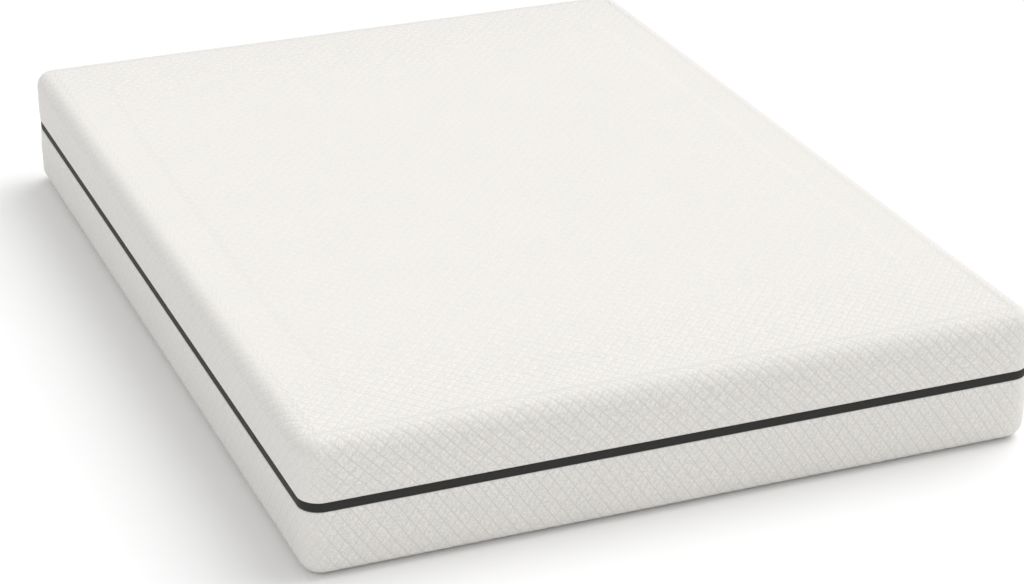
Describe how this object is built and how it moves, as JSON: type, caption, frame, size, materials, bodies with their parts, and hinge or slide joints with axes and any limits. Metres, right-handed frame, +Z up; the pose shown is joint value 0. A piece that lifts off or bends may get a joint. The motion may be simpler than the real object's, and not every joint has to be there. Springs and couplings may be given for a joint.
{
  "type": "memory foam mattress",
  "caption": "Foam mattress with a white quilted knit cover in two zipped halves, a flat black band round the sides, and a layered foam core in a fire barrier sock.",
  "frame": {"origin": "middle of the underside, at floor level", "axes": "+X across the width, +Y along the length towards the head end, where the zip slider parks, +Z up"},
  "size_m": [1.372, 1.905, 0.254],
  "materials": {
    "quilted_knit": "matte",
    "wadding": "matte",
    "band_weave": "matte",
    "base_cloth": "matte",
    "zip_tape": "matte",
    "zip_coil": "satin",
    "zip_ends": "satin",
    "slider_metal": "satin",
    "barrier_knit": "matte",
    "label_satin": "satin",
    "memory_foam": "matte",
    "transition_foam": "matte",
    "support_foam": "matte"
  },
  "bodies": {
    "lower_cover": {"lower_border": "quilted_knit", "base_panel": "base_cloth", "lower_cover_wadding": "wadding", "lower_zip_tape": "zip_tape", "lower_zip_coil": "zip_coil", "lower_zip_stop": "zip_ends", "zip_retainer_box": "zip_ends", "care_label": "label_satin"},
    "foam_core": {"fire_barrier_sock": "barrier_knit", "memory_foam_layer": "memory_foam", "transition_foam_layer": "transition_foam", "support_foam_core": "support_foam"},
    "upper_cover": {"top_cover": "quilted_knit", "top_cover_wadding": "wadding", "border_band": "band_weave", "upper_zip_tape": "zip_tape", "upper_zip_coil": "zip_coil", "upper_zip_stop": "zip_ends", "zip_insertion_pin": "zip_ends"},
    "zip_slider": {"zip_slider_body": "slider_metal"},
    "zip_pull": {"zip_pull_tab": "slider_metal"}
  },
  "joints": [
    {"name": "core_lift", "type": "slide", "parent": "lower_cover", "child": "foam_core", "axis": [0, 0, 1], "range_m": [0, 0.16]},
    {"name": "cover_lift", "type": "slide", "parent": "foam_core", "child": "upper_cover", "axis": [0, 0, 1], "range_m": [0, 0.2]},
    {"name": "zip_slide", "type": "slide", "parent": "lower_cover", "child": "zip_slider", "axis": [-1, 0, 0], "range_m": [0, 1.012]},
    {"name": "pull_swing", "type": "hinge", "parent": "zip_slider", "child": "zip_pull", "pos_m": [0.506, 0.94695, 0.135], "axis": [0, 0, 1], "range_deg": [0, 180]}
  ]
}
